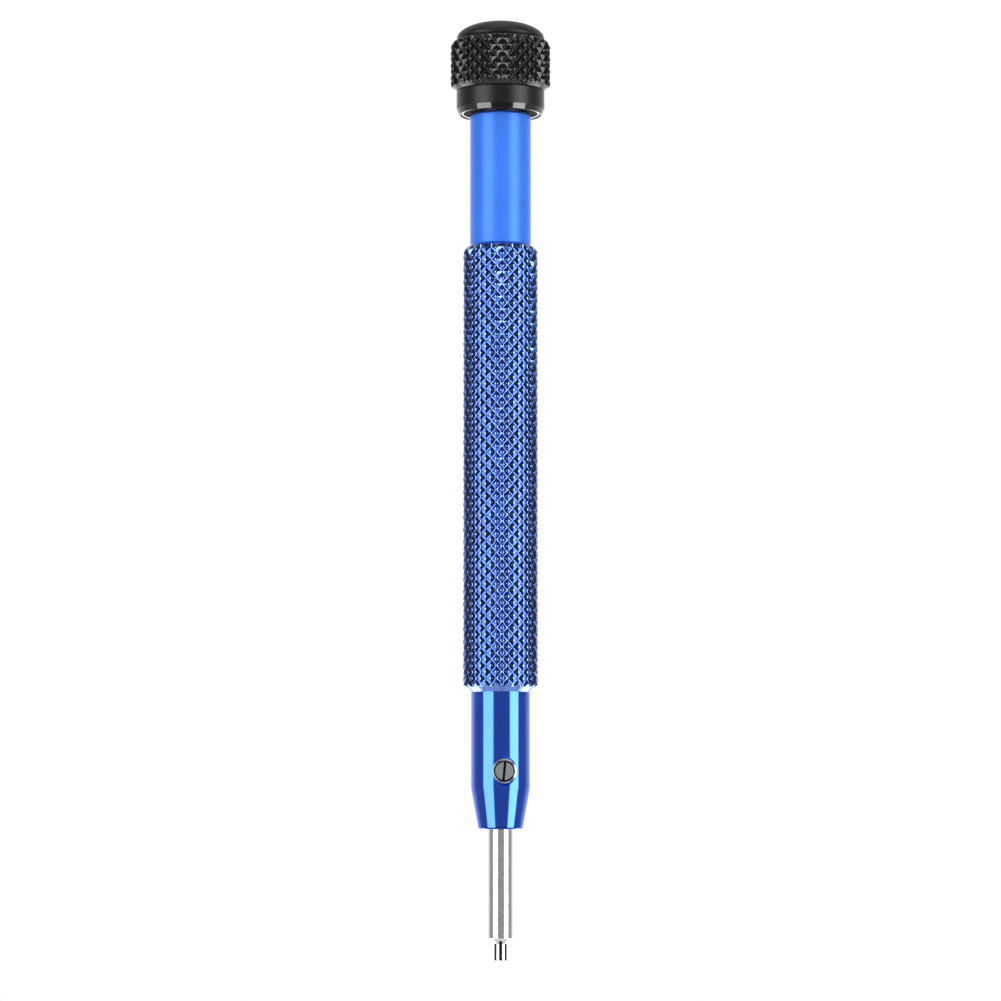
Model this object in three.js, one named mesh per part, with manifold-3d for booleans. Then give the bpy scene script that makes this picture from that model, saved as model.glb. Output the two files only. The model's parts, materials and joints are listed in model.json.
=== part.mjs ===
// A watchmaker's screwdriver: a knurled barrel, an exchangeable blade clamped by a set screw, and a head
// that swivels on a miniature ball bearing. Millimetres, +Z up, the end of the blade's tip at the origin.
import * as THREE from 'three';
import { mergeVertices } from 'three/addons/utils/BufferGeometryUtils.js';
import Module from 'manifold-3d';

const wasm = await Module();
wasm.setup();

// ---- Driving dimensions ----

const ROUND = 48; // segments round the large turned parts
const MEDIUM = 36; // segments round the blade and the bearing
const SMALL = 24; // segments round a small screw
const RACE_STEPS = 4; // chords in the arc of a ball race
const RUNNING = 0.03; // radial clearance of a part that turns or slides

const BLADE = { radius: 1.25, top: 31.85, endChamfer: 0.2, flatDepth: 0.2, flatFrom: 16.4 };
const TIP = { length: 1.6, radius: 0.62, shoulder: 0.05, turn: -8.4 };
const FLUTES = { count: 6, radius: 0.16, from: 0.6, steps: 4 }; // round grooves along the tip

const NOSE = { z: 12.85, radius: 2.28, fillet: 0.25, cylinderFrom: 16.9, radiusAbove: 3.0 };
const GRIP = { from: 26.42, to: 71.12, radius: 3.75, lowerChamfer: 0.7, upperChamfer: 0.77 };
const GRIP_SHOULDER = { radius: 3.45, drop: 0.27 }; // a second bevel below the grip's top edge
const NECK = { radius: 3.05, top: 84.28, chamfer: 0.2 };
const BLADE_BORE = { depth: 32.0, mouthChamfer: 0.15, drillPoint: 0.77 };

const SET_SCREW = { z: 18.6, radius: 1.0, length: 1.5, chamfer: 0.13, tipChamfer: 0.3, slotLean: 5.6 };
const SET_SCREW_SLOT = { width: 0.25, depth: 0.45 };
const COUNTERSINK_R = 1.44; // at the barrel's surface, 90 degrees

const WASHER = { thickness: 0.12, innerRadius: 2.0, outerRadius: 2.5 };
const BEARING = { width: 3.0, bore: 2.0, innerLand: 2.6, outerLand: 3.4, outside: 4.0, chamfer: 0.1 };
const BALLS = { count: 8, radius: 0.6, pitchRadius: 3.0, raceRadius: 0.64 };
const CAGE = { innerRadius: 2.72, outerRadius: 3.28, from: 1.2, to: 2.5, pocketRadius: 0.64 };
const SHIELD = { innerRadius: 2.7, outerRadius: 3.66, from: 0.1, thickness: 0.16 };
const SHIELD_SEAT = { radius: 3.72, depth: 0.35 };

const PIVOT = { threadRadius: 1.5, threadLength: 5.0, headRadius: 2.6, headHeight: 1.3, chamfer: 0.15 };
const PIVOT_SLOT = { width: 0.8, depth: 0.7 };

const HEAD = {
  underside: 84.3, rimRadius: 4.2, skirtFrom: 84.85, skirtRadius: 4.41, skirtTo: 86.75,
  knurlFrom: 87.35, knurlRadius: 5.03, knurlTo: 91.15, shoulder: 91.62, shoulderRadius: 4.8,
  top: 91.93, topRadius: 4.38,
};
const HEAD_BORE = { mouthChamfer: 0.05, aboveBearing: 3.5, capSeatFrom: 89.6, capSeatRadius: 3.8 };
const CAP = { from: 90.2, spigotGap: 0.02, radius: 4.43, undercut: 0.17, rim: 0.1, height: 1.71 };

// ---- Materials ----

const finish = (color, roughness, metalness = 1) =>
  new THREE.MeshStandardMaterial({ color, roughness, metalness });

const blueAnodised = () => finish(0x1450d8, 0.3);
const blackAnodised = () => finish(0x1c1c20, 0.45);
const greyAnodised = () => finish(0x45454a, 0.4);
const polishedSteel = () => finish(0xc4c2bf, 0.15);
const blackenedSteel = () => finish(0x6a6a6c, 0.35);
const nylon = () => finish(0xd8cfb8, 0.6, 0);

// ---- Geometry helpers ----

// A profile turned about +Z, given as [radius, height] pairs with the material on the left of the path.
function turned(profile, segments = ROUND) {
  const points = profile.map(([radius, height]) => new THREE.Vector2(radius, height));
  return new THREE.LatheGeometry(points, segments).rotateX(Math.PI / 2);
}

function turnedRing(profile, segments = ROUND) {
  return turned([...profile, profile[0]], segments);
}

// A plain band: a ring of rectangular section.
function turnedBand(inner, outer, from, to) {
  return turnedRing([[inner, from], [outer, from], [outer, to], [inner, to]], MEDIUM);
}

// Points on an arc in a profile, both ends included. Angles are in degrees from the outward radius.
function arc(centreRadius, centreHeight, radius, fromDegrees, toDegrees, steps) {
  return Array.from({ length: steps + 1 }, (_, i) => {
    const angle = THREE.MathUtils.degToRad(fromDegrees + ((toDegrees - fromDegrees) * i) / steps);
    return [centreRadius + radius * Math.cos(angle), centreHeight + radius * Math.sin(angle)];
  });
}

function solid(geometry) {
  const bare = geometry.clone();
  for (const name of Object.keys(bare.attributes)) {
    if (name !== 'position') bare.deleteAttribute(name);
  }
  const merged = mergeVertices(bare, 1e-5);
  return new wasm.Manifold(new wasm.Mesh({
    numProp: 3,
    vertProperties: new Float32Array(merged.attributes.position.array),
    triVerts: new Uint32Array(merged.index.array),
  }));
}

function geometryOf(manifold) {
  const { vertProperties, triVerts } = manifold.getMesh();
  const geometry = new THREE.BufferGeometry();
  geometry.setAttribute('position', new THREE.BufferAttribute(vertProperties, 3));
  geometry.setIndex(new THREE.BufferAttribute(triVerts, 1));
  geometry.computeVertexNormals();
  return geometry;
}

function cut(geometry, ...cutters) {
  const result = cutters.reduce((left, cutter) => left.subtract(solid(cutter)), solid(geometry));
  return geometryOf(result);
}

function part(name, geometry, material) {
  const mesh = new THREE.Mesh(geometry, material);
  mesh.name = name;
  return mesh;
}

function group(z, ...members) {
  const made = new THREE.Group().add(...members);
  made.position.z = z;
  return made;
}

// A straight slot across the end of a screw that stands on +Z.
function slotCutter(width, depth, endZ, radius, lean = 0) {
  const overrun = 1;
  const box = new THREE.BoxGeometry(width, 2 * radius + overrun, depth + overrun);
  return box.translate(0, 0, endZ - depth / 2 + overrun / 2).rotateZ(-THREE.MathUtils.degToRad(lean));
}

// ---- Blade ----

// A round section with straight flutes, the first of them half a step from the outward radius at 0 degrees.
function flutedShape({ radius }, flutes) {
  const { sin, cos, atan2, acos } = Math;
  const step = (2 * Math.PI) / flutes.count;
  const { radius: groove, from } = flutes;
  const mouth = acos((radius ** 2 + from ** 2 - groove ** 2) / (2 * radius * from));
  const [edgeX, edgeY] = [radius * cos(mouth) - from, radius * sin(mouth)];
  const reach = atan2(edgeY, edgeX); // of the groove's arc, from the outward direction
  const shape = new THREE.Shape();
  for (let i = 0; i < flutes.count; i++) {
    const middle = (i + 0.5) * step;
    shape.absarc(0, 0, radius, middle - step + mouth, middle - mouth, false);
    shape.absarc(from * cos(middle), from * sin(middle), groove, middle - reach, middle + reach, true);
  }
  return shape;
}

function bladeGeometry() {
  const { radius, top, endChamfer, flatDepth, flatFrom } = BLADE;
  const coneFrom = TIP.radius + TIP.shoulder;
  const coneTop = TIP.length + radius - coneFrom;
  const shank = turned([
    [0, TIP.length], [coneFrom, TIP.length], [radius, coneTop],
    [radius, top - endChamfer], [radius - endChamfer, top], [0, top],
  ], MEDIUM);
  const embedded = 0.2;
  const tip = new THREE.ExtrudeGeometry(flutedShape(TIP, FLUTES), {
    depth: TIP.length + embedded, bevelEnabled: false, curveSegments: FLUTES.steps,
  }).rotateZ(THREE.MathUtils.degToRad(TIP.turn));
  const overrun = 1;
  const flatHeight = top - flatFrom + overrun;
  const flat = new THREE.BoxGeometry(2 * radius, overrun, flatHeight)
    .translate(0, flatDepth - radius - overrun / 2, flatFrom + flatHeight / 2);
  return geometryOf(solid(shank).add(solid(tip)).subtract(solid(flat)));
}

// ---- Barrel ----

function barrelGeometry() {
  const bore = BLADE.radius + RUNNING;
  const thread = PIVOT.threadRadius + RUNNING;
  const threadEnd = NECK.top - PIVOT.threadLength - 0.5;
  const { radius: neck, top, chamfer } = NECK;
  const body = turned([
    [0, BLADE_BORE.depth + BLADE_BORE.drillPoint],
    [bore, BLADE_BORE.depth],
    [bore, NOSE.z + BLADE_BORE.mouthChamfer],
    [bore + BLADE_BORE.mouthChamfer, NOSE.z],
    ...arc(NOSE.radius - NOSE.fillet, NOSE.z + NOSE.fillet, NOSE.fillet, -90, -10, 3),
    [NOSE.radiusAbove, NOSE.cylinderFrom],
    [NOSE.radiusAbove, GRIP.from],
    [GRIP.radius, GRIP.from + GRIP.lowerChamfer],
    [GRIP.radius, GRIP.to - GRIP.upperChamfer],
    [GRIP_SHOULDER.radius, GRIP.to - GRIP_SHOULDER.drop],
    [neck, GRIP.to],
    [neck, top - chamfer],
    [neck - chamfer, top],
    [thread + chamfer, top],
    [thread, top - chamfer],
    [thread, threadEnd],
    [0, threadEnd - thread / 2],
  ]);
  return cut(body, setScrewHoleCutter());
}

// The tapped hole and its 90 degree countersink, standing on +Z at the barrel's axis, then laid to face -Y.
function setScrewHoleCutter() {
  const hole = SET_SCREW.radius + RUNNING;
  const surface = NOSE.radiusAbove;
  const overrun = 0.3;
  return turned([
    [0, BLADE.radius / 2], [hole, BLADE.radius / 2], [hole, surface - (COUNTERSINK_R - hole)],
    [COUNTERSINK_R + overrun, surface + overrun], [0, surface + overrun],
  ], SMALL).rotateX(Math.PI / 2).translate(0, 0, SET_SCREW.z);
}

// ---- Screws ----

// Stands on +Z with its clamping end at z = 0.
function setScrewGeometry() {
  const { radius, length, chamfer, tipChamfer, slotLean } = SET_SCREW;
  const body = turned([
    [0, 0], [radius - tipChamfer, 0], [radius, tipChamfer],
    [radius, length - chamfer], [radius - chamfer, length], [0, length],
  ], SMALL);
  return cut(body, slotCutter(SET_SCREW_SLOT.width, SET_SCREW_SLOT.depth, length, radius, slotLean));
}

function setScrew() {
  const mesh = part('set_screw', setScrewGeometry(), blackenedSteel());
  const seat = BLADE.radius - BLADE.flatDepth + RUNNING;
  mesh.position.set(0, -seat, SET_SCREW.z);
  mesh.rotation.x = Math.PI / 2;
  return mesh;
}

// The shoulder screw stands with the underside of its shoulder, where it meets the barrel, at z = 0.
function pivotScrewGeometry() {
  const { threadRadius, threadLength, headRadius, headHeight, chamfer } = PIVOT;
  const shoulder = BEARING.bore - RUNNING;
  const underHead = WASHER.thickness + BEARING.width;
  const top = underHead + headHeight;
  const body = turned([
    [0, -threadLength], [threadRadius - chamfer, -threadLength], [threadRadius, chamfer - threadLength],
    [threadRadius, 0], [shoulder, 0], [shoulder, underHead], [headRadius, underHead],
    [headRadius, top - chamfer], [headRadius - chamfer, top], [0, top],
  ], SMALL);
  return cut(body, slotCutter(PIVOT_SLOT.width, PIVOT_SLOT.depth, top, headRadius));
}

function washerGeometry() {
  const { thickness, innerRadius, outerRadius } = WASHER;
  return turnedBand(innerRadius, outerRadius, 0, thickness);
}

// ---- Ball bearing, standing on z = 0 ----

// Half the angle of the race's arc that lies beyond a ring's land.
function raceHalfAngle(land) {
  return THREE.MathUtils.radToDeg(Math.acos(Math.abs(BALLS.pitchRadius - land) / BALLS.raceRadius));
}

function innerRingGeometry() {
  const { width, bore, innerLand } = BEARING;
  const half = raceHalfAngle(innerLand);
  return turnedRing([
    [bore, 0], [innerLand, 0],
    ...arc(BALLS.pitchRadius, width / 2, BALLS.raceRadius, 180 + half, 180 - half, RACE_STEPS),
    [innerLand, width], [bore, width],
  ], MEDIUM);
}

function outerRingGeometry() {
  const { width, outerLand, outside, chamfer } = BEARING;
  const { radius: seat, depth } = SHIELD_SEAT;
  const pressed = outside - RUNNING / 2;
  const half = raceHalfAngle(outerLand);
  return turnedRing([
    [seat, 0], [pressed - chamfer, 0], [pressed, chamfer], [pressed, width - chamfer],
    [pressed - chamfer, width], [seat, width], [seat, width - depth],
    [outerLand, width - depth],
    ...arc(BALLS.pitchRadius, width / 2, BALLS.raceRadius, half, -half, RACE_STEPS),
    [outerLand, depth], [seat, depth],
  ], MEDIUM);
}

function shieldGeometry(from) {
  return turnedBand(SHIELD.innerRadius, SHIELD.outerRadius, from, from + SHIELD.thickness);
}

const sphere = (radius) => new THREE.SphereGeometry(radius, 12, 8);

function ballPlaces() {
  return Array.from({ length: BALLS.count }, (_, i) => {
    const angle = (2 * Math.PI * i) / BALLS.count;
    const { pitchRadius } = BALLS;
    return [pitchRadius * Math.cos(angle), pitchRadius * Math.sin(angle), BEARING.width / 2];
  });
}

function cageGeometry() {
  const { innerRadius, outerRadius, from, to, pocketRadius } = CAGE;
  const body = turnedBand(innerRadius, outerRadius, from, to);
  const pockets = ballPlaces().map((place) => sphere(pocketRadius).translate(...place));
  return cut(body, ...pockets);
}

function bearingParts() {
  const { width } = BEARING;
  const balls = ballPlaces().map((place, i) => {
    const ball = part(`bearing_ball_${i + 1}`, sphere(BALLS.radius), polishedSteel());
    ball.position.set(...place);
    return ball;
  });
  return [
    part('bearing_inner_ring', innerRingGeometry(), polishedSteel()),
    part('bearing_outer_ring', outerRingGeometry(), polishedSteel()),
    part('bearing_cage', cageGeometry(), nylon()),
    part('bearing_lower_shield', shieldGeometry(SHIELD.from), polishedSteel()),
    part('bearing_upper_shield', shieldGeometry(width - SHIELD.from - SHIELD.thickness), polishedSteel()),
    ...balls,
  ];
}

// ---- Swivel head ----

function headShellGeometry(bearingZ) {
  const { underside, top } = HEAD;
  const { mouthChamfer, aboveBearing, capSeatFrom, capSeatRadius } = HEAD_BORE;
  const bore = BEARING.outside;
  const shoulder = bearingZ + BEARING.width;
  return turnedRing([
    [bore + mouthChamfer, underside], [HEAD.rimRadius, underside],
    [HEAD.skirtRadius, HEAD.skirtFrom], [HEAD.skirtRadius, HEAD.skirtTo],
    [HEAD.knurlRadius, HEAD.knurlFrom], [HEAD.knurlRadius, HEAD.knurlTo],
    [HEAD.shoulderRadius, HEAD.shoulder], [HEAD.topRadius, top], [capSeatRadius, top],
    [capSeatRadius, capSeatFrom], [aboveBearing, capSeatFrom], [aboveBearing, shoulder],
    [bore, shoulder], [bore, underside + mouthChamfer],
  ]);
}

function headCapGeometry() {
  const { from, spigotGap, radius, undercut, rim, height } = CAP;
  const spigot = HEAD_BORE.capSeatRadius - spigotGap;
  const domeFrom = HEAD.top + rim;
  const steps = 8;
  const dome = arc(0, 0, 1, 0, 90, steps).map(([x, y]) => [radius * x, domeFrom + height * y]);
  dome[steps][0] = 0; // the last point lies on the axis
  return turned([[0, from], [spigot, from], [spigot, HEAD.top], [radius - undercut, HEAD.top], ...dome]);
}

// ---- Assembly ----

const bearingZ = NECK.top + WASHER.thickness;

const screwdriver = new THREE.Group();
screwdriver.add(
  part('blade', bladeGeometry(), polishedSteel()),
  part('barrel', barrelGeometry(), blueAnodised()),
  setScrew(),
  group(NECK.top, part('pivot_screw', pivotScrewGeometry(), polishedSteel())),
  group(NECK.top, part('spacer_washer', washerGeometry(), blueAnodised())),
  group(bearingZ, ...bearingParts()),
  part('head_shell', headShellGeometry(bearingZ), blackAnodised()),
  part('head_cap', headCapGeometry(), greyAnodised()),
);

export default screwdriver;
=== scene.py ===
"""Looks of the watchmaker's screwdriver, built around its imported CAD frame. Metres, +Z up."""

import json
import math

import bmesh
import bpy
import numpy as np
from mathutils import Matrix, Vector


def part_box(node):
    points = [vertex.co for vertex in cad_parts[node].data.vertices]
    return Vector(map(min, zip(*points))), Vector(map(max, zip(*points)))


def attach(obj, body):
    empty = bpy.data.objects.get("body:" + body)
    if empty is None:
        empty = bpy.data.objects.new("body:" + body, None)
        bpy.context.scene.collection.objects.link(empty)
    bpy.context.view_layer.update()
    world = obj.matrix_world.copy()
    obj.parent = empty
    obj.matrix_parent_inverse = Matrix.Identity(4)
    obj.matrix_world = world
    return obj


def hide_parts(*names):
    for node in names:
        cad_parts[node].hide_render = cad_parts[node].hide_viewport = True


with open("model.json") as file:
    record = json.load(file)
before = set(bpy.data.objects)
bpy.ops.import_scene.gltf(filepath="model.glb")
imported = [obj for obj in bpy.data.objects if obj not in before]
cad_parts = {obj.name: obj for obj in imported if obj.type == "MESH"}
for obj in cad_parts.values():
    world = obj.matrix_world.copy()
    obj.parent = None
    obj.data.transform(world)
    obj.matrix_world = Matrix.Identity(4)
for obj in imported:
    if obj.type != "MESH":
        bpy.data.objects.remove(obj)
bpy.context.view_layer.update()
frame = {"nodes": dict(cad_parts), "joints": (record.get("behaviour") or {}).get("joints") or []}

MM = 0.001

# ---- Driving dimensions, in millimetres unless a name says otherwise ----

FINE = 384  # segments round the barrel, where a polished surface shows every facet
BLADE_SEGMENTS = 360
ROUND = 192  # segments round the other large turned parts
SMALL = 96  # segments round the small parts
BALL_RINGS, POCKET_RINGS = 24, 16
EDGE = 0.045  # radius that breaks a turned edge
SMALL_EDGE = 0.03  # the same on the screws and the ball cage
GENTLE_EDGE = 4.0  # radius of a corner that turns by less than GENTLE_TURN
GENTLE_TURN = math.radians(15)
LEAST_TURN = math.radians(1)  # a corner that turns by less is left out
ARC_STEP = 14  # degrees of a rounded edge that one step covers at most
CHORD = 0.3  # CAD chords shorter than this belong to an arc
RACE_CHORD, SHIELD_CHORD, CAP_CHORD = 0.4, 0.05, 1.2  # the same on these pieces

KNURL_PITCH = 1.24  # height of one diamond
KNURL_DEPTH = 0.32
KNURL_CROWN = 0.045  # how far a diamond's land falls towards its edge
KNURL_FLANK = 0.36  # the shares below are of the distance between grooves
KNURL_EDGE = 0.04  # half the width of the bevel between flank and land
KNURL_WANDER = 0.025  # how far a groove lies off its place
KNURL_SEEDS = (3, 8)  # for the wander of each direction's grooves
KNURL_UNEVEN = 0.12  # share by which the depth changes from place to place
GRIP_STARTS = 20
GRIP_BOTTOM = 0.07  # half the width of the rounding in a groove's bottom
GRIP_TURN = 0.18  # how far the pattern is turned, in distances between grooves
GRIP_WAIST = 0.4  # how far the barrel is turned down under its knurled band
HEAD_STARTS = 27
HEAD_BOTTOM = 0.03
HEAD_TURN = 0.31
HEAD_WAIST = 0.2
RELIEF_DEPTH, RELIEF_HEIGHT = 0.12, 0.14  # the fine groove between the skirt and the knurl
RELIEF_SLOPE = 0.2  # share of the groove's height that each of its walls takes
RIM_HEIGHT = 0.5  # the polished rim under the head

SET_SCREW_RADIUS = 1.0
SET_SCREW_CHAMFER, SET_SCREW_TIP_CHAMFER = 0.13, 0.3
SET_SCREW_SLOT_WIDTH, SET_SCREW_SLOT_DEPTH, SET_SCREW_SLOT_LEAN = 0.25, 0.45, 5.6  # the lean in degrees
HOLE_GAP = 0.06
HOLE_FROM = 0.6  # the cross hole starts this far from the barrel's axis, inside the blade's bore
BARE_RADIUS = 1.22  # out to here the countersink is bare metal
COUNTERSINK_RADIUS = 1.44  # where it meets the barrel's surface
PIVOT_SLOT_WIDTH, PIVOT_SLOT_DEPTH = 0.8, 0.7

TIP_LENGTH, TIP_RADIUS, TIP_CHAMFER = 1.6, 0.62, 0.04
TIP_TURN = -8.4  # degrees
TIP_ROWS = (0.3, 0.9, 1.4, 1.57)  # heights of mesh rows along the tip
FLUTES, FLUTE_RADIUS, FLUTE_FROM = 6, 0.16, 0.6  # round grooves, their middles at FLUTE_FROM
FLUTE_RUN_OUT, FLUTE_RISE = 0.1, 3  # height of a flute's run-out, and its slope
FLUTE_LIP = 0.015
CONE_FROM = 0.67
CONE_ROWS = (0, 0.03, 0.07)  # heights of mesh rows above the cone's foot
SHANK_FOOT = 0.1  # how far up the cone the rounded outline of the shank starts
SHANK_CHAMFER = 0.2
SHANK_ROW = 3.0  # height between mesh rows along the shank
FLAT_DEPTH, FLAT_FROM, FLAT_RUN_OUT, FLAT_ROWS = 0.2, 16.4, 0.3, 8
FLAT_FACING = 0.1  # the flat lies where the surface faces it by more than this cosine

BALLS = 8
POCKET_CLEARANCE = 0.04
CAGE_THICKNESS = 0.56

CAMERA_AZIMUTH = -8.4  # degrees, 0 looks along +Y
CAMERA_DISTANCE = 375.0
CAMERA_HEIGHT = 15.0
PICTURE_MIDDLE = 45.5  # the height seen in the middle of the picture
SEEN_WIDTH = 99.7  # width of the picture there, at the driver's axis
FLOOR_RADIUS = 260.0
FLOOR_GAP = 0.5

# ---- Mesh helpers ----


def mesh_object(name, vertices, faces, material):
    """A smooth-shaded mesh piece. Vertices are in millimetres."""
    mesh = bpy.data.meshes.new(name)
    mesh.from_pydata((np.asarray(vertices) * MM).tolist(), [], faces)
    mesh.update()
    mesh.shade_smooth()
    mesh.materials.append(material)
    piece = bpy.data.objects.new(name, mesh)
    bpy.context.scene.collection.objects.link(piece)
    return piece


def add_piece(piece, body, slot, *nodes):
    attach(piece, body)
    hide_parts(*nodes)
    return piece


def meridian(node):
    """A turned CAD node's outline in the half-plane y = 0, x >= 0: [radius, height] corners in mm.

    They run in order with the material on their left, from the axis to the axis or once round.
    """
    mesh = frame["nodes"][node].data
    places = [tuple(round(c / MM, 4) for c in v.co) for v in mesh.vertices]
    links = {}
    for face in mesh.polygons:
        corners = [places[i] for i in face.vertices]
        for a, b in zip(corners, corners[1:] + corners[:1]):
            if a != b and all(abs(p[1]) < 1e-3 and p[0] > -1e-3 for p in (a, b)):
                a2, b2 = (a[0], a[2]), (b[0], b[2])
                links.setdefault(a2, set()).add(b2)
                links.setdefault(b2, set()).add(a2)
    ends = [p for p, others in links.items() if len(others) == 1]
    walk = [min(ends or links, key=lambda p: (p[0], p[1]))]
    while True:
        onward = [p for p in sorted(links[walk[-1]]) if p not in walk[-2:] and p != walk[0]]
        onward = [p for p in onward if p not in walk]
        if not onward:
            break
        walk.append(onward[0])
    outline = np.array(walk)
    r, z = outline.T
    area = np.sum(r * np.roll(z, -1) - np.roll(r, -1) * z)
    return outline if area > 0 else outline[::-1]


def softened(outline, closed, edge=EDGE, chord=CHORD):
    """The outline with each corner rounded, and support points that keep the shading beside it true.

    A corner between two chords of an arc is rounded right up to the middle of its chords.
    """
    made = []
    count = len(outline)
    for i, corner in enumerate(outline):
        if not closed and i in (0, count - 1):
            made.append(corner)
            continue
        before, after = outline[i - 1] - corner, outline[(i + 1) % count] - corner
        run_in, run_out = np.linalg.norm(before), np.linalg.norm(after)
        u, v = before / run_in, after / run_out
        turn = math.pi - math.acos(np.clip(u @ v, -1, 1))
        if turn < LEAST_TURN:
            continue
        on_arc = max(run_in, run_out) < chord
        room = 0.5 * min(run_in, run_out)
        radius = GENTLE_EDGE if turn < GENTLE_TURN else edge
        tangent = room if on_arc else min(radius * math.tan(turn / 2), 0.8 * room)
        start, end = corner + u * tangent, corner + v * tangent
        steps = max(4, math.ceil(math.degrees(turn) / ARC_STEP))
        support = min(0.25 * tangent, 0.1 * room)
        if not on_arc:
            made.append(start + u * support)
        bulge = math.cos(turn / 2)
        for k in range(steps + 1):
            t = k / steps
            weights = np.array([(1 - t) ** 2, 2 * t * (1 - t) * bulge, t**2])
            made.append(weights @ np.array([start, corner, end]) / weights.sum())
        if not on_arc:
            made.append(end + v * support)
    return np.array(made)


def skin(rows, segments, closed):
    """Faces that join rows of vertices, each row a ring about the axis.

    Unless it is closed, the two vertices after the last row are the middles of its ends.
    """
    faces = []
    for row in range(rows if closed else rows - 1):
        low, high = row * segments, (row + 1) % rows * segments
        for i in range(segments):
            j = (i + 1) % segments
            faces.append((low + i, low + j, high + j, high + i))
    if closed:
        return faces
    first, last, top = rows * segments, rows * segments + 1, (rows - 1) * segments
    for i in range(segments):
        j = (i + 1) % segments
        faces.append((first, j, i))
        faces.append((last, top + i, top + j))
    return faces


def revolved(name, outline, closed, segments, material):
    """The outline turned about +Z. Its end points lie on the axis unless it is closed."""
    angles = np.arange(segments) * 2 * math.pi / segments
    ring = np.stack([np.cos(angles), np.sin(angles)], axis=1)
    body = outline if closed else outline[1:-1]
    vertices = [(r * c, r * s, z) for r, z in body for c, s in ring]
    if not closed:
        vertices += [(0, 0, outline[0][1]), (0, 0, outline[-1][1])]
    return mesh_object(name, vertices, skin(len(body), segments, closed), material)


def is_closed(outline):
    return min(outline[0][0], outline[-1][0]) > 1e-3


def waisted(outline, span, depth):
    """The outline with its knurled span turned down out of sight by depth, for a band to sit there."""
    foot, head = span[0], span[-1]
    radius, z = outline.T
    inside = (z > foot[1]) & (z < head[1]) & (radius > min(foot[0], head[0]))
    kept = outline[~inside]
    after_foot = int(np.argmin(np.abs(kept - foot).sum(axis=1))) + 1
    waist = [(foot[0] - depth, foot[1] + depth), (head[0] - depth, head[1] - depth)]
    return np.insert(kept, after_foot, waist, axis=0)


def turned_node(node, material, segments=ROUND, name=None, outline=None, chord=CHORD):
    """A finely turned copy of a CAD node's outline, or of the outline given."""
    outline = meridian(node) if outline is None else outline
    closed = is_closed(outline)
    return revolved(name or node, softened(outline, closed, chord=chord), closed, segments, material)


def cut_away(piece, cutter, sharp_degrees=30):
    """Subtracts the cutter from the piece for good. The new faces take the cutter's finish."""
    cut = piece.modifiers.new("cut", "BOOLEAN")
    cut.material_mode = "TRANSFER"
    cut.operation = "DIFFERENCE"
    cut.solver = "EXACT"
    cut.object = cutter
    depsgraph = bpy.context.evaluated_depsgraph_get()
    mesh = bpy.data.meshes.new_from_object(piece.evaluated_get(depsgraph), depsgraph=depsgraph)
    piece.modifiers.clear()
    piece.data = mesh
    mesh.set_sharp_from_angle(angle=math.radians(sharp_degrees))
    bpy.data.objects.remove(cutter)
    return piece


# ---- Knurls ----


BOTTOM, FLANK, BEVEL, LAND = range(4)  # strips, in order from a groove's middle to a land's middle


def knurl_lines(bottom):
    """Where the mesh lines lie between one groove's middle and the next, as shares of the distance."""
    half = [bottom, KNURL_FLANK - KNURL_EDGE, KNURL_FLANK + KNURL_EDGE]
    return np.array([*half, 0.5, *(1 - x for x in reversed(half))])


def knurl_relief(a, b):
    """How far the surface lies below the crest, in mm. a and b count the grooves of the two directions."""
    to_groove = np.minimum(np.abs(a - np.round(a)), np.abs(b - np.round(b)))
    across_land = (0.5 - to_groove) / (0.5 - KNURL_FLANK)
    on_land = KNURL_CROWN * across_land**2
    on_flank = KNURL_DEPTH + (KNURL_CROWN - KNURL_DEPTH) * to_groove / KNURL_FLANK
    return np.where(to_groove > KNURL_FLANK, on_land, np.maximum(on_flank, KNURL_CROWN))


def wandering(value, starts, seed):
    """The groove count moved to where the grooves lie, each a little off its place."""
    wander = np.random.default_rng(seed).uniform(-KNURL_WANDER, KNURL_WANDER, starts)
    whole = np.floor(value).astype(int)
    here, there = wander[whole % starts], wander[(whole + 1) % starts]
    return value + here + (there - here) * (value - whole)


def knurl_points(a, b, starts, crest, turn):
    """Where the surface lies at the groove counts a and b."""
    a_place, b_place = (wandering(value, starts, seed) for value, seed in zip((a, b), KNURL_SEEDS))
    angle = 2 * math.pi * ((a_place + b_place) / 2 + turn) / starts
    z = (a_place - b_place) * KNURL_PITCH / 2
    wave = np.sin(3 * angle + 0.9 * z) * np.sin(5 * angle - 0.53 * z + 1)
    radius = crest - knurl_relief(a, b) * (1 + KNURL_UNEVEN * (wave - 1) / 2)
    return np.stack([radius * np.cos(angle), radius * np.sin(angle), z], axis=2).reshape(-1, 3)


def knurl_strip(strip, steps):
    """Whether a strip between two mesh lines is bottom, flank, bevel or land."""
    return (BOTTOM, FLANK, BEVEL, LAND)[min(strip + 1, steps - 1 - strip)]


def knurl_cell(corners, k, m, steps):
    """One cell of the sheet, split along the crease from a crossing of grooves up to a land's corner."""
    p, q, r, s = corners
    if k == m:
        return [(p, q, r), (p, r, s)]
    if k + m == steps - 2:
        return [(p, q, s), (q, r, s)]
    return [corners]


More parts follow.
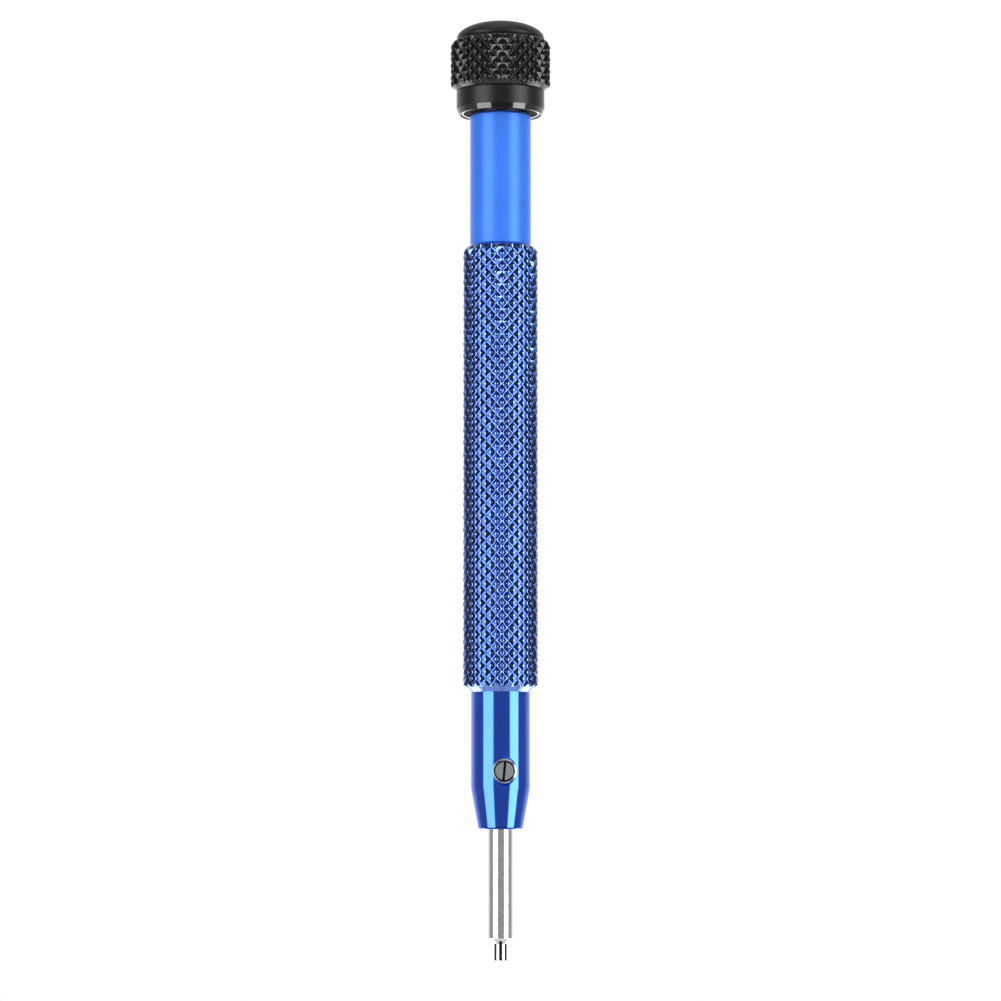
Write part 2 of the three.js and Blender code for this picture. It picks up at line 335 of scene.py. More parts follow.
def knurl_sheet(starts, bottom, crest, low, high, turn):
    """Vertices, faces and the faces' strips of an open knurled tube that reaches at least from low to high.

    The mesh lines run along both directions of groove, so a step along either also climbs or falls.
    """
    lines = knurl_lines(bottom)
    steps = len(lines)
    around = starts * steps
    first = math.floor(2 * low / KNURL_PITCH * steps) - steps
    last = math.ceil(2 * high / KNURL_PITCH * steps) + steps
    columns = last - first + 1
    i = np.arange(around)[:, None] + np.zeros((1, columns), int)
    j = i - np.arange(first, last + 1)[None, :]
    a, b = (k // steps + lines[k % steps] for k in (i, j))
    faces, strips = [], []
    for row in range(around):
        here, ahead = row * columns, (row + 1) % around * columns
        for d in range(1, columns - 1):
            k, m = row % steps, (row - first - d) % steps
            corners = (here + d, here + d - 1, ahead + d, ahead + d + 1)
            cell = knurl_cell(corners, k, m, steps)
            faces += cell
            strips += [min(knurl_strip(k, steps), knurl_strip(m, steps))] * len(cell)
    return knurl_points(a, b, starts, crest, turn), faces, strips


def knurl_band(name, outline, starts, bottom, inner, material, turn=0.0):
    """A diamond knurled tube. The outline's [radius, height] corners bound it, from its foot to its head."""
    foot, head = outline[0, 1], outline[-1, 1]
    middle = (foot + head) / 2
    crest = outline[:, 0].max()
    vertices, faces, strips = knurl_sheet(starts, bottom, crest, foot - middle, head - middle, turn)
    vertices[:, 2] += middle
    piece = mesh_object(name, vertices, faces, material)
    piece.data.attributes.new("strip", "INT", "FACE").data.foreach_set("value", strips)
    built = bmesh.new()
    built.from_mesh(piece.data)
    for z in outline[1:-1, 1]:
        split_at(built, z)
    for low, high in ((foot, outline[1, 1]), (outline[-2, 1], head)):
        for share in (0.33, 0.67):  # extra rows, so that the knurl runs out smoothly
            split_at(built, low + share * (high - low))
    split_at(built, foot, clear_inner=True)
    split_at(built, head, clear_outer=True)
    for vertex in built.verts:
        limit = np.interp(vertex.co.z / MM, outline[:, 1], outline[:, 0]) * MM
        set_radius(vertex, min(limit, vertex.co.xy.length))
    line_with_sleeve(built, inner * MM)
    built.to_mesh(piece.data)
    built.free()
    shade_knurl(piece.data)
    return piece


def split_at(built, z, **clear):
    parts = [*built.verts, *built.edges, *built.faces]
    level = {"plane_co": (0, 0, z * MM), "plane_no": (0, 0, 1)}
    bmesh.ops.bisect_plane(built, geom=parts, dist=1e-7, **level, **clear)


def set_radius(vertex, radius):
    vertex.co.xy = vertex.co.xy * (radius / vertex.co.xy.length)


def line_with_sleeve(built, radius):
    """Closes an open tube with a thin inner wall."""
    rims = [edge for edge in built.edges if edge.is_boundary]
    grown = bmesh.ops.extrude_edge_only(built, edges=rims)["geom"]
    for vertex in (g for g in grown if isinstance(g, bmesh.types.BMVert)):
        set_radius(vertex, radius)
    rims = [g for g in grown if isinstance(g, bmesh.types.BMEdge) and g.is_boundary]
    bmesh.ops.bridge_loops(built, edges=rims)
    bmesh.ops.recalc_face_normals(built, faces=built.faces)


def shade_knurl(mesh):
    """Shades flanks flat and lands round, and makes the narrow strips between them turn the corner."""
    mesh.shade_smooth()
    strips = read_values(mesh.attributes["strip"].data, "value", len(mesh.polygons), int)
    areas = read_values(mesh.polygons, "area", len(mesh.polygons))
    normals = read_values(mesh.polygons, "normal", 3 * len(mesh.polygons)).reshape(-1, 3)
    corners = read_values(mesh.polygons, "loop_total", len(mesh.polygons), int)
    points = read_values(mesh.loops, "vertex_index", len(mesh.loops), int)
    faces = np.repeat(np.arange(len(mesh.polygons)), corners)
    wide = np.isin(strips, (FLANK, LAND))
    summed = np.zeros((len(mesh.vertices), 3))
    np.add.at(summed, points, (normals * (areas * wide)[:, None])[faces])
    length = np.linalg.norm(summed, axis=1)
    own = (strips[faces] == FLANK) | (length[points] < 1e-12)
    shared = summed[points] / np.maximum(length[points], 1e-12)[:, None]
    mesh.normals_split_custom_set(np.where(own[:, None], normals[faces], shared).tolist())
    mesh.attributes.remove(mesh.attributes["strip"])


def read_values(collection, field, count, kind=float):
    values = np.zeros(count, kind)
    collection.foreach_get(field, values)
    return values


# ---- Material helpers ----


NOISE_LOW, NOISE_HIGH = 0.3, 0.7  # most of a noise's values lie between these


def colour_ramp(tree, value, stops):
    """A ramp from the value to a colour. Stops are (position, colour)."""
    node = tree.nodes.new("ShaderNodeValToRGB")
    elements = node.color_ramp.elements
    while len(elements) < len(stops):
        elements.new(0.5)
    for element, (position, colour) in zip(elements, stops):
        element.position = position
        element.color = (*colour, 1.0)
    tree.links.new(value, node.inputs["Fac"])
    return node.outputs["Color"]


class Nodes:
    """Short calls for one material's node tree."""

    def __init__(self, name):
        self.material = bpy.data.materials.new(name)
        self.material.use_nodes = True
        self.tree = self.material.node_tree
        self.shader = next(n for n in self.tree.nodes if n.type == "BSDF_PRINCIPLED")
        self.place = self.add("ShaderNodeTexCoord").outputs["Object"]

    def add(self, kind, **values):
        node = self.tree.nodes.new(kind)
        for key, value in values.items():
            setattr(node, key, value)
        return node

    def link(self, source, target):
        self.tree.links.new(source, target)

    def stretched(self, scale):
        """Object coordinates in mm, multiplied by scale along x, y and z."""
        mapping = self.add("ShaderNodeMapping")
        mapping.inputs["Scale"].default_value = [s / MM for s in scale]
        self.link(self.place, mapping.inputs["Vector"])
        return mapping.outputs["Vector"]

    def noise(self, scale, detail=4.0, roughness=0.55):
        texture = self.add("ShaderNodeTexNoise")
        texture.inputs["Scale"].default_value = 1.0
        texture.inputs["Detail"].default_value = detail
        texture.inputs["Roughness"].default_value = roughness
        self.link(self.stretched(scale), texture.inputs["Vector"])
        return texture.outputs["Fac"]

    def spread(self, value, low, high):
        """Maps a noise value to low..high, held at its ends."""
        span = self.add("ShaderNodeMapRange", clamp=True)
        ends = (("From Min", NOISE_LOW), ("From Max", NOISE_HIGH), ("To Min", low), ("To Max", high))
        for key, number in ends:
            span.inputs[key].default_value = number
        self.link(value, span.inputs["Value"])
        return span.outputs["Result"]

    def mottled(self, value, low, high):
        """Maps a noise value to a colour from low to high."""
        return colour_ramp(self.tree, value, [(NOISE_LOW, low), (NOISE_HIGH, high)])

    def bump(self, heights):
        """Bumps for the shader's normal, as (height value, depth in mm) pairs, one on top of another."""
        normal = None
        for height, depth in heights:
            node = self.add("ShaderNodeBump")
            node.inputs["Strength"].default_value = 1.0
            node.inputs["Distance"].default_value = depth * MM
            self.link(height, node.inputs["Height"])
            if normal is not None:
                self.link(normal, node.inputs["Normal"])
            normal = node.outputs["Normal"]
        self.link(normal, self.shader.inputs["Normal"])

    def set(self, **values):
        for key, value in values.items():
            self.shader.inputs[key.replace("_", " ")].default_value = value


def tinted(colour, factor):
    return tuple(c * factor for c in colour)


BLUE = (0.008, 0.080, 0.62)
KNURL_BLUE = (0.003, 0.098, 0.48)
SATIN_BLUE = (0.028, 0.114, 0.47)
BLACK = (0.003, 0.003, 0.0034)
GREY = (0.009, 0.0095, 0.010)
STEEL = (0.57, 0.56, 0.54)
DULL_STEEL = (0.28, 0.285, 0.30)
# Painted shade: a darkened copy of STEEL for the bearing's inner ring, which lies in the shadow of the gap
# under the head.
PAINTED_SHADE_STEEL = (0.085, 0.08, 0.10)
# Near-black paint: plain dark on the flutes and the shields, and painted shade in the screws' slots, on the
# set screw's edge and on the edge of the tip's end.
DARK_AND_PAINTED_SHADE = (0.012, 0.012, 0.012)
BARE_METAL = (0.80, 0.80, 0.82)
NYLON = (0.62, 0.56, 0.42)

ALONG_MARKS = 0.15  # how far the turning marks change over 1 mm round the part, in noise cells
CLOUD = (0.6, 0.6, 0.35)  # the same for the slow changes of colour, along x, y and z
GLOSS_CHANGE = 0.15  # share by which the roughness changes from mark to mark
COAT_ROUGHNESS = 0.08
SAND_DETAIL, MARK_DETAIL, CLOUD_DETAIL = 2.0, 3.0, 5.0

# Colour, roughness, turning marks and grain as (size, depth) in mm, and what else a finish sets.
FINISHES = {
    "blue_polished": (BLUE, 0.09, (0.09, 0.0004), (0.05, 0.0002), {"coat": 0.7}),
    "blue_satin": (SATIN_BLUE, 0.32, (0.05, 0.0005), (0.03, 0.0005), {"metallic": 0.2, "specular": 0.12}),
    "blue_knurled": (
        KNURL_BLUE, 0.13, (0.10, 0.001), (0.06, 0.001), {"mottling": 0.2, "coat": 1.0, "coat_ior": 2.0}
    ),
    "black_satin": (BLACK, 0.36, (0.06, 0.0006), (0.03, 0.0006), {"metallic": 0.0, "specular": 0.21}),
    "black_polished": (BLACK, 0.12, (0.06, 0.0003), (0.03, 0.0002), {"metallic": 0.0, "specular": 0.7}),
    "black_knurled": (BLACK, 0.08, (0.1, 0.0007), (0.06, 0.0007), {"metallic": 0.0, "specular": 0.38}),
    "grey_satin": (GREY, 0.36, (0.07, 0.0006), (0.03, 0.0006), {"metallic": 0.0, "specular": 0.18}),
    "ground_steel": (STEEL, 0.13, (0.04, 0.0006), (0.05, 0.0003), {}),
    "bare_metal": (BARE_METAL, 0.25, (0.05, 0.001), (0.04, 0.0005), {}),
    "dark_and_painted_shade": (DARK_AND_PAINTED_SHADE, 0.85, (0.06, 0.001), (0.04, 0.001), {"metallic": 0.0, "specular": 0.2}),
    "painted_shade_steel": (PAINTED_SHADE_STEEL, 0.3, (0.06, 0.001), (0.04, 0.001), {}),
    "dull_steel": (DULL_STEEL, 0.36, (0.06, 0.002), (0.04, 0.001), {}),
    "bearing_steel": (STEEL, 0.08, (0.03, 0.0003), (0.05, 0.0002), {}),
    "nylon": (NYLON, 0.5, (0.3, 0.002), (0.05, 0.003), {"metallic": 0.0}),
}


def finish(
    name, colour, roughness, marks, grain,
    metallic=1.0, mottling=0.06, specular=0.5, coat=0.0, coat_ior=1.5,
):
    """A turned surface: marks round the axis, a fine grain, and slight changes of colour and gloss."""
    n = Nodes(name)
    mark_size, mark_depth = marks
    grain_size, grain_depth = grain
    turning = n.noise((ALONG_MARKS, ALONG_MARKS, 1 / mark_size), detail=MARK_DETAIL)
    fine = n.noise((1 / grain_size,) * 3, detail=SAND_DETAIL)
    cloud = n.noise(CLOUD, detail=CLOUD_DETAIL)
    shades = n.mottled(cloud, tinted(colour, 1 - mottling), tinted(colour, 1 + mottling))
    n.link(shades, n.shader.inputs["Base Color"])
    gloss = n.spread(turning, roughness * (1 - GLOSS_CHANGE), roughness * (1 + GLOSS_CHANGE))
    n.link(gloss, n.shader.inputs["Roughness"])
    n.bump([(turning, mark_depth), (fine, grain_depth)])
    n.set(Metallic=metallic, Specular_IOR_Level=specular)
    n.set(Coat_Weight=coat, Coat_Roughness=COAT_ROUGHNESS, Coat_IOR=coat_ior)
    return n.material


def paint(piece, material, chosen):
    """Gives the material to the faces whose middle, in mm, is chosen."""
    piece.data.materials.append(material)
    index = len(piece.data.materials) - 1
    for face in piece.data.polygons:
        if chosen(face.center / MM):
            face.material_index = index


# ---- Barrel ----


def make_barrel():
    outline = waisted(meridian("barrel"), grip_span, GRIP_WAIST)
    core = turned_node("barrel", look["blue_polished"], FINE, "barrel_core", outline)
    cut_away(core, set_screw_hole())
    middle = (grip_span[0][1] + grip_span[-1][1]) / 2
    paint(core, look["blue_satin"], lambda place: place.z > middle)
    inner = grip_span[0][0] - GRIP_WAIST / 2
    knurled = look["blue_knurled"]
    grip = knurl_band("barrel_grip", grip_span, GRIP_STARTS, GRIP_BOTTOM, inner, knurled, GRIP_TURN)
    add_piece(core, "barrel", "anodised_blue", "barrel")
    add_piece(grip, "barrel", "anodised_blue", "barrel")


def laid_to_front(piece, z):
    """Turns a piece that stands on +Z at the origin to point along -Y at height z, for good."""
    turn = np.array([[1, 0, 0], [0, 0, -1], [0, 1, 0]], float)
    points = np.array([v.co for v in piece.data.vertices]) @ turn.T
    points[:, 2] += z * MM
    piece.data.vertices.foreach_set("co", points.ravel())
    piece.data.update()
    return piece


def set_screw_height():
    low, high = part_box("set_screw")
    return (low.z + high.z) / 2 / MM


def set_screw_hole():
    """The tapped hole with its 90 degree countersink."""
    surface = grip_span[0][0]
    hole = SET_SCREW_RADIUS + HOLE_GAP
    overrun = 0.4
    outline = np.array([
        (0, HOLE_FROM), (hole, HOLE_FROM), (hole, surface - (COUNTERSINK_RADIUS - hole)),
        (BARE_RADIUS, surface - (COUNTERSINK_RADIUS - BARE_RADIUS)),
        (COUNTERSINK_RADIUS + overrun, surface + overrun), (0, surface + overrun),
    ])
    cutter = revolved("hole_cutter", outline, False, SMALL, look["blue_polished"])
    paint(cutter, look["bare_metal"], lambda middle: hole < math.hypot(middle.x, middle.y) < BARE_RADIUS)
    return laid_to_front(cutter, set_screw_height())


# ---- Blade ----


def fluted_radius(angles):
    """The polar radius of the tip: a circle with round grooves."""
    step = 2 * math.pi / FLUTES
    off = np.abs((angles - math.radians(TIP_TURN)) % step - step / 2)  # from the middle of the nearest flute
    across = FLUTE_FROM * np.sin(off)
    groove = FLUTE_FROM * np.cos(off) - np.sqrt(np.clip(FLUTE_RADIUS**2 - across**2, 0, None))
    return np.where(across < FLUTE_RADIUS, np.minimum(groove, TIP_RADIUS), TIP_RADIUS)


def blade_profile(radius, top):
    """Heights of the blade's mesh rows, and its radius at each without flutes or flat."""
    cone_top = TIP_LENGTH + radius - CONE_FROM
    tip = [(0, TIP_RADIUS - TIP_CHAMFER)] + [(z, TIP_RADIUS) for z in (TIP_CHAMFER, *TIP_ROWS)]
    tip += [(TIP_LENGTH + rise, CONE_FROM + rise) for rise in CONE_ROWS]
    shank = softened(np.array([
        (CONE_FROM + SHANK_FOOT, TIP_LENGTH + SHANK_FOOT), (radius, cone_top), (radius, top - SHANK_CHAMFER),
        (radius - SHANK_CHAMFER, top),
    ]), False)
    flat = [(z, radius) for z in FLAT_FROM + np.linspace(0, FLAT_RUN_OUT, FLAT_ROWS)]
    spaced = [(z, radius) for z in np.arange(4.0, top - 1, SHANK_ROW)]
    rows = tip + [(z, r) for r, z in shank] + flat + spaced
    return np.array(sorted(rows))


def blade_row(angles, z, radius):
    """The blade's radius round the mesh row at height z."""
    row = np.full_like(angles, radius)
    past_tip = z - TIP_LENGTH
    if past_tip < FLUTE_RUN_OUT:
        run_out = max(0.0, past_tip) * FLUTE_RISE
        chamfer = min(0.0, z - TIP_CHAMFER)
        row = np.minimum(row, fluted_radius(angles) + run_out + chamfer)
    if z > FLAT_FROM:
        depth = FLAT_DEPTH * min(1.0, (z - FLAT_FROM) / FLAT_RUN_OUT)
        facing = -np.sin(angles)
        flat = (radius - depth) / np.clip(facing, FLAT_FACING, None)
        row = np.where(facing > FLAT_FACING, np.minimum(row, flat), row)
    return row


def make_blade():
    _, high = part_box("blade")
    top = high.z / MM
    angles = 2 * math.pi * np.arange(BLADE_SEGMENTS) / BLADE_SEGMENTS
    profile = blade_profile(high.x / MM, top)
    vertices = []
    for z, base in profile:
        radii = blade_row(angles, z, base)
        vertices += [(r * math.cos(t), r * math.sin(t), z) for r, t in zip(radii, angles)]
    vertices += [(0, 0, 0), (0, 0, top)]
    faces = skin(len(profile), BLADE_SEGMENTS, False)
    piece = mesh_object("blade_rod", vertices, faces, look["ground_steel"])
    piece.data.set_sharp_from_angle(angle=math.radians(35))
    # Near-black paint on the flutes, and painted shade on the edge of the tip's end.
    paint(piece, look["dark_and_painted_shade"], dark_flutes_and_tip_shade)
    add_piece(piece, "blade", "blade_steel", "blade")


def dark_flutes_and_tip_shade(middle):
    """The flutes, which are painted near-black, and the edge of the tip's end, where the near-black is
    painted shade for the tip's contact shadow.
    """
    in_flute = math.hypot(middle.x, middle.y) < TIP_RADIUS - FLUTE_LIP and middle.z < TIP_LENGTH
    return in_flute or 0 < middle.z < TIP_CHAMFER


# ---- Screws ----


def slot_cutter(width, depth, end_z, radius, lean=0.0):
    """A box that cuts a straight slot across the end of a screw standing on +Z."""
    overrun = 0.5
    half = Vector((width / 2, radius + overrun, (depth + overrun) / 2))
    middle_z = end_z - depth + half.z
    signs = [(x, y, z) for z in (-1, 1) for y in (-1, 1) for x in (-1, 1)]
    corners = [(x * half.x, y * half.y, middle_z + z * half.z) for x, y, z in signs]
    c, s = math.cos(math.radians(-lean)), math.sin(math.radians(-lean))
    corners = [(x * c - y * s, x * s + y * c, z) for x, y, z in corners]
    faces = [(0, 2, 3, 1), (4, 5, 7, 6), (0, 1, 5, 4), (2, 6, 7, 3), (0, 4, 6, 2), (1, 3, 7, 5)]
    # Painted shade: the slot's cut faces take this near-black paint, for the shade inside the slot.
    return mesh_object("slot_cutter", corners, faces, look["dark_and_painted_shade"])


def make_set_screw():
    low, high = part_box("set_screw")
    radius, seat, outside = high.x / MM, -high.y / MM, -low.y / MM
    chamfer, tip_chamfer = SET_SCREW_CHAMFER, SET_SCREW_TIP_CHAMFER
    outline = np.array([
        (0, seat), (radius - tip_chamfer, seat), (radius, seat + tip_chamfer),
        (radius, outside - chamfer), (radius - chamfer, outside), (0, outside),
    ])
    rounded = softened(outline, False, SMALL_EDGE)
    piece = revolved("set_screw_body", rounded, False, SMALL, look["dull_steel"])
    slot = (SET_SCREW_SLOT_WIDTH, SET_SCREW_SLOT_DEPTH, outside, radius, SET_SCREW_SLOT_LEAN)
    cut_away(piece, slot_cutter(*slot))

    # Painted shade: the screw's chamfered edge is painted near-black for the dark ring where the screw meets
    # its hole.
    def painted_shade_edge(middle):
        return middle.xy.length > radius - 0.8 * chamfer and middle.z > outside - 1.2 * chamfer

    paint(piece, look["dark_and_painted_shade"], painted_shade_edge)
    laid_to_front(piece, set_screw_height())
    add_piece(piece, "set_screw", "screw_steel", "set_screw")


def make_pivot_screw():
    """The screw without the CAD's slot, with the slot cut again in the finer mesh."""
    _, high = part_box("pivot_screw")
    top = high.z / MM
    in_slot = (PIVOT_SLOT_WIDTH / 2 + 0.01, top - PIVOT_SLOT_DEPTH - 0.01)
    outline = [p for p in meridian("pivot_screw") if not (p[0] < in_slot[0] and p[1] > in_slot[1])]
    outline = softened(np.array([*outline, (0, top)]), False, SMALL_EDGE)
    piece = revolved("pivot_screw_body", outline, False, SMALL, look["dull_steel"])
    cut_away(piece, slot_cutter(PIVOT_SLOT_WIDTH, PIVOT_SLOT_DEPTH, top, high.x / MM))
    add_piece(piece, "barrel", "screw_steel", "pivot_screw")


# ---- Bearing ----


def ball(name, centre, radius, material, rings=BALL_RINGS):
    mesh = bpy.data.meshes.new(name)
    built = bmesh.new()
    bmesh.ops.create_uvsphere(built, u_segments=2 * rings, v_segments=rings, radius=radius * MM)
    bmesh.ops.translate(built, vec=centre, verts=built.verts)
    built.to_mesh(mesh)
    built.free()
    mesh.shade_smooth()
    mesh.materials.append(material)
    piece = bpy.data.objects.new(name, mesh)
    bpy.context.scene.collection.objects.link(piece)
    return piece


def cage_outline():
    low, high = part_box("bearing_cage")
    outer, foot, head = high.x / MM, low.z / MM, high.z / MM
    inner = outer - CAGE_THICKNESS
    return np.array([(inner, foot), (outer, foot), (outer, head), (inner, head)])


def make_rings():
    # The inner ring takes painted shade, darker than the rest of the bearing's steel.
    inner = turned_node("bearing_inner_ring", look["painted_shade_steel"], SMALL, "inner_ring", chord=RACE_CHORD)
    add_piece(inner, "barrel", "bearing_steel", "bearing_inner_ring")
    # The shields are painted near-black.
    steel, dark = look["bearing_steel"], look["dark_and_painted_shade"]
    for node, name, material, chord in (
        ("bearing_outer_ring", "outer_ring", steel, RACE_CHORD),
        ("bearing_lower_shield", "lower_shield", dark, SHIELD_CHORD),
        ("bearing_upper_shield", "upper_shield", dark, SHIELD_CHORD),
    ):
        add_piece(turned_node(node, material, ROUND, name, chord=chord), "head", "bearing_steel", node)


def make_balls():
    """The balls, and the cage with a pocket for each."""
    outline = softened(cage_outline(), True, SMALL_EDGE)
    cage = revolved("ball_cage", outline, True, ROUND, look["nylon"])
    for i in range(1, BALLS + 1):
        node = f"bearing_ball_{i}"
        low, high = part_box(node)
        centre, radius = (low + high) / 2, (high.z - low.z) / 2 / MM
        pocket = ball("pocket_cutter", centre, radius + POCKET_CLEARANCE, look["nylon"], POCKET_RINGS)
        cut_away(cage, pocket)
        sphere = ball(f"ball_{i}", centre, radius, look["bearing_steel"])
        add_piece(sphere, "ball_cage", "bearing_steel", node)
    add_piece(cage, "ball_cage", "cage_plastic", "bearing_cage")


def make_washer():
    washer = turned_node("spacer_washer", look["blue_polished"], SMALL, "spacer_collar")
    add_piece(washer, "barrel", "anodised_blue", "spacer_washer")


# ---- Head ----


def relieved(outline, foot):
    """The outline with a fine groove just below the foot of the knurl."""
    at_foot = int(np.argmin(np.abs(outline - foot).sum(axis=1)))
    radius, z = foot
    bottom, wall = radius - RELIEF_DEPTH, RELIEF_SLOPE * RELIEF_HEIGHT
    groove = [(radius, z - RELIEF_HEIGHT), (bottom, z - RELIEF_HEIGHT + wall), (bottom, z - wall)]
    return np.insert(outline, at_foot, groove, axis=0)


def make_head():
    outline = relieved(waisted(meridian("head_shell"), head_span, HEAD_WAIST), head_span[0])
    shell = turned_node("head_shell", look["black_polished"], ROUND, "head_body", outline)
    rim_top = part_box("head_shell")[0].z / MM + RIM_HEIGHT
    paint(shell, look["black_satin"], lambda middle: middle.z > rim_top)
    inner = head_span[-1][0] - HEAD_WAIST / 2
    knurled = look["black_knurled"]
    band = knurl_band("head_knurl", head_span, HEAD_STARTS, HEAD_BOTTOM, inner, knurled, HEAD_TURN)
    cap = turned_node("head_cap", look["grey_satin"], ROUND, "head_dome", chord=CAP_CHORD)
    add_piece(shell, "head", "anodised_black", "head_shell")
    add_piece(band, "head", "anodised_black", "head_shell")
    add_piece(cap, "head", "anodised_grey", "head_cap")


# ---- Studio ----


# Azimuth from the camera and elevation in degrees, distance, width and height in metres, radiance.
LEFT_SOFTBOX = (-47.8, 0, 0.62, 0.46, 0.86, 5.8)
RIGHT_SOFTBOX = (54.0, 0, 0.62, 0.39, 0.86, 7.4)
FLOOR_LIGHT = (0, 90, 0.9, 1.2, 1.2, 3.0)

# What reflections see: brightness by the azimuth from the camera, the same on both sides.
WALLS = ((0, 0.48), (28, 0.48), (34, 0.5), (106, 0.48), (122, 1.0), (180, 1.9))
REAR_LIGHTS = ((0, 0.0), (95, 0.0), (120, 4.4), (150, 4.4), (180, 0.6))

# The share of each by the sine of the elevation, and the brightness straight below and above.
WALLS_REACH = ((-0.48, 0.2), (-0.39, 1.0), (0.26, 1.0), (0.40, 0.2))
REAR_LIGHTS_REACH = (
    (-0.85, 0.0), (-0.75, 1.0), (-0.55, 1.0), (-0.42, 0.0),
    (0.35, 0.0), (0.50, 0.12), (0.70, 0.12), (0.80, 0.0),
)
ENDS = ((-0.90, 1.0), (-0.80, 0.0), (0.90, 0.0), (0.96, 0.9))

FLOOR_SHADES = (0.80, 0.82)
FLOOR_ROUGHNESS = (0.10, 0.14)


def from_driver(azimuth, elevation=0.0):
    """The direction from the driver to a place. Azimuth from the camera and elevation, in degrees."""
    a, e = math.radians(CAMERA_AZIMUTH + azimuth), math.radians(elevation)
    return Vector((math.sin(a) * math.cos(e), -math.cos(a) * math.cos(e), math.sin(e)))


def make_camera():
    """Stands low in front and looks a little up."""
    place = from_driver(0) * (CAMERA_DISTANCE * MM)
    place.z = CAMERA_HEIGHT * MM
    towards = Vector((0, 0, PICTURE_MIDDLE * MM)) - place
    data = bpy.data.cameras.new("camera")
    data.sensor_width = 36.0
    data.lens = data.sensor_width * towards.length / (SEEN_WIDTH * MM)
    data.clip_start, data.clip_end = 0.01, 20.0
    camera = bpy.data.objects.new("camera", data)
    camera.location = place
    camera.rotation_mode = "QUATERNION"
    camera.rotation_quaternion = towards.to_track_quat("-Z", "Y")
    bpy.context.scene.collection.objects.link(camera)
    bpy.context.scene.camera = camera


def softbox(name, azimuth, elevation, distance, width, height, radiance):
    """A rectangular light that faces the driver's middle and isn't seen itself."""
    data = bpy.data.lights.new(name, "AREA")
    data.shape = "RECTANGLE"
    data.size, data.size_y = width, height
    data.energy = radiance * math.pi * width * height
    light = bpy.data.objects.new(name, data)
    back = from_driver(azimuth, elevation)
    light.location = Vector((0, 0, PICTURE_MIDDLE * MM)) + back * distance
    light.rotation_mode = "QUATERNION"
    light.rotation_quaternion = back.to_track_quat("Z", "Y")
    light.visible_camera = False
    bpy.context.scene.collection.objects.link(light)
    return light


class WorldNodes:
    """Short calls for the world's node tree."""

    def __init__(self, world):
        world.use_nodes = True
        self.tree = world.node_tree
        self.tree.nodes.clear()
        self.add, self.link = self.tree.nodes.new, self.tree.links.new
        self.direction = self.add("ShaderNodeTexCoord").outputs["Generated"]

    def along(self, vector):
        """How far the direction points along the vector."""
        node = self.add("ShaderNodeVectorMath")
        node.operation = "DOT_PRODUCT"
        node.inputs[1].default_value = vector
        self.link(self.direction, node.inputs[0])
        return node.outputs["Value"]

    def maths(self, operation, *values):
        node = self.add("ShaderNodeMath")
        node.operation = operation
        for socket, value in zip(node.inputs, values):
            if isinstance(value, (int, float)):
                socket.default_value = value
            else:
                self.link(value, socket)
        return node.outputs[0]

    def brightness(self, value, stops):
        return colour_ramp(self.tree, value, [(position, (level,) * 3) for position, level in stops])

    def by_azimuth(self, stops):
        """A brightness by the angle from the camera's side, from 0 to 180 degrees."""
        front = from_driver(0)
        right = (-front.y, front.x, 0)
        turn = self.maths("ABSOLUTE", self.maths("ARCTAN2", self.along(right), self.along(front)))
        share = self.maths("DIVIDE", turn, math.pi)
        return self.brightness(share, [(degrees / 180, level) for degrees, level in stops])

    def by_rise(self, stops):
        """A brightness by the sine of the elevation."""
        share = self.maths("MULTIPLY_ADD", self.along((0, 0, 1)), 0.5, 0.5)
        return self.brightness(share, [((sine + 1) / 2, level) for sine, level in stops])

    def blend(self, kind, first, second):
        node = self.add("ShaderNodeMixRGB")
        node.blend_type = kind
        node.inputs["Fac"].default_value = 1.0
        self.link(first, node.inputs["Color1"])
        self.link(second, node.inputs["Color2"])
        return node.outputs["Color"]


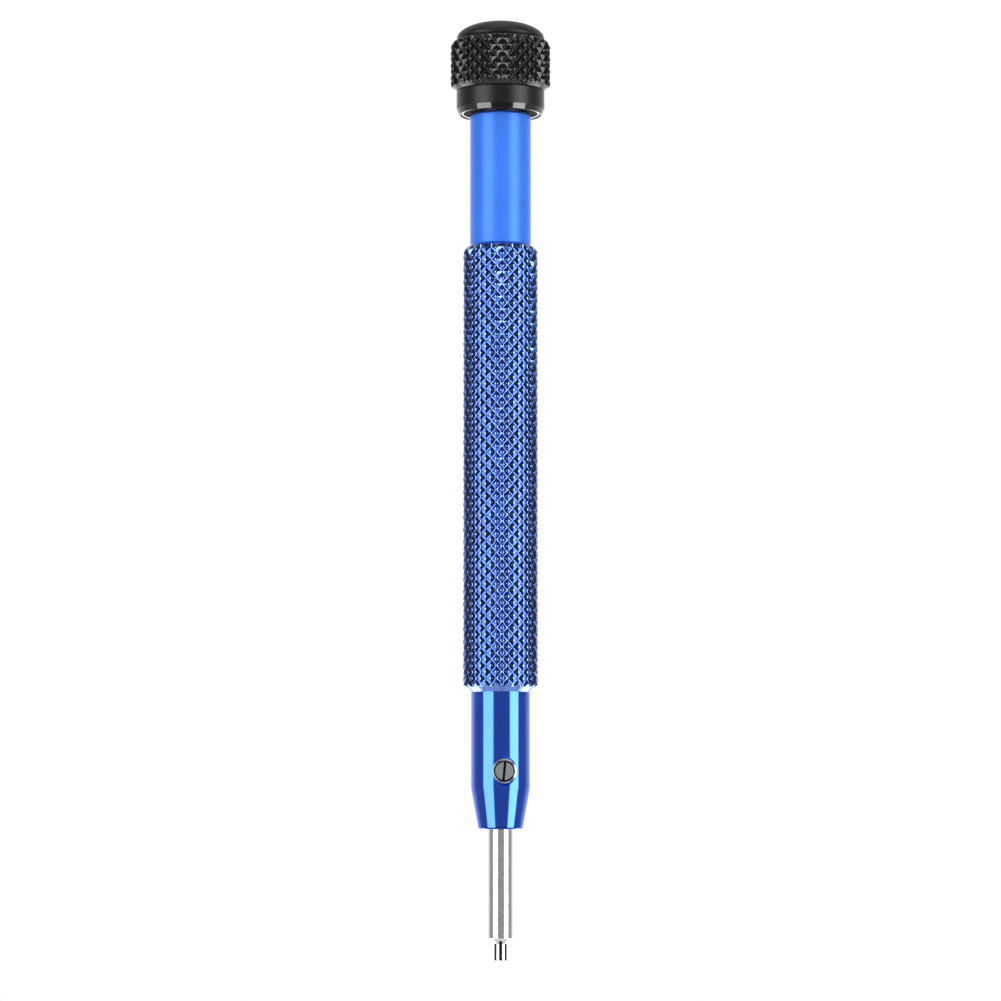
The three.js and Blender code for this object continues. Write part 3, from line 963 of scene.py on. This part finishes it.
def make_world():
    """White for the eye. Reflections see grey walls, and light behind, above and below."""
    world = bpy.data.worlds.new("studio")
    bpy.context.scene.world = world
    n = WorldNodes(world)
    walls = n.blend("MULTIPLY", n.by_azimuth(WALLS), n.by_rise(WALLS_REACH))
    rear = n.blend("MULTIPLY", n.by_azimuth(REAR_LIGHTS), n.by_rise(REAR_LIGHTS_REACH))
    seen = n.blend("ADD", n.blend("ADD", walls, rear), n.by_rise(ENDS))
    reflected, backdrop = n.add("ShaderNodeBackground"), n.add("ShaderNodeBackground")
    n.link(seen, reflected.inputs["Color"])
    backdrop.inputs["Color"].default_value = (1, 1, 1, 1)
    mix = n.add("ShaderNodeMixShader")
    n.link(n.add("ShaderNodeLightPath").outputs["Is Camera Ray"], mix.inputs["Fac"])
    n.link(reflected.outputs["Background"], mix.inputs[1])
    n.link(backdrop.outputs["Background"], mix.inputs[2])
    n.link(mix.outputs["Shader"], n.add("ShaderNodeOutputWorld").inputs["Surface"])


def make_floor():
    """A pale, slightly glossy table top, below the blade's tip even when the blade is drawn right out."""
    n = Nodes("floor")
    cloud = n.noise((0.02, 0.02, 0.02), detail=2.0)
    dark, light = ((shade,) * 3 for shade in FLOOR_SHADES)
    n.link(n.mottled(cloud, dark, light), n.shader.inputs["Base Color"])
    n.link(n.spread(cloud, *FLOOR_ROUGHNESS), n.shader.inputs["Roughness"])
    turns = [2 * math.pi * i / SMALL for i in range(SMALL)]
    corners = [(FLOOR_RADIUS * math.cos(t), FLOOR_RADIUS * math.sin(t), 0) for t in turns]
    floor = mesh_object("floor", corners, [tuple(range(SMALL))], n.material)
    travel = next(joint["range_m"][1] for joint in frame["joints"] if joint["name"] == "blade_slide")
    floor.location.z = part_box("blade")[0].z - travel - FLOOR_GAP * MM
    floor.visible_glossy = False


def make_studio():
    make_camera()
    softbox("left_softbox", *LEFT_SOFTBOX)
    softbox("right_softbox", *RIGHT_SOFTBOX)
    overhead = softbox("floor_light", *FLOOR_LIGHT)
    overhead.visible_glossy = False
    make_world()
    make_floor()
    bpy.context.scene.view_settings.view_transform = "Standard"


# ---- Assembly ----


def crest_span(outline):
    """The corners of a knurled band, with the bevels below and above its crest."""

    def slopes(a, b):
        return min(abs(outline[a] - outline[b])) > 0.01

    crest = [i for i, (r, _) in enumerate(outline) if r > outline[:, 0].max() - 0.01]
    first, last = min(crest), max(crest)
    while slopes(first - 1, first):
        first -= 1
    while slopes(last, last + 1):
        last += 1
    return outline[first : last + 1]


grip_span = crest_span(meridian("barrel"))
head_span = crest_span(meridian("head_shell"))

look = {name: finish(name, *values, **others) for name, (*values, others) in FINISHES.items()}
make_studio()
make_barrel()
make_blade()
make_set_screw()
make_pivot_screw()
make_washer()
make_rings()
make_balls()
make_head()
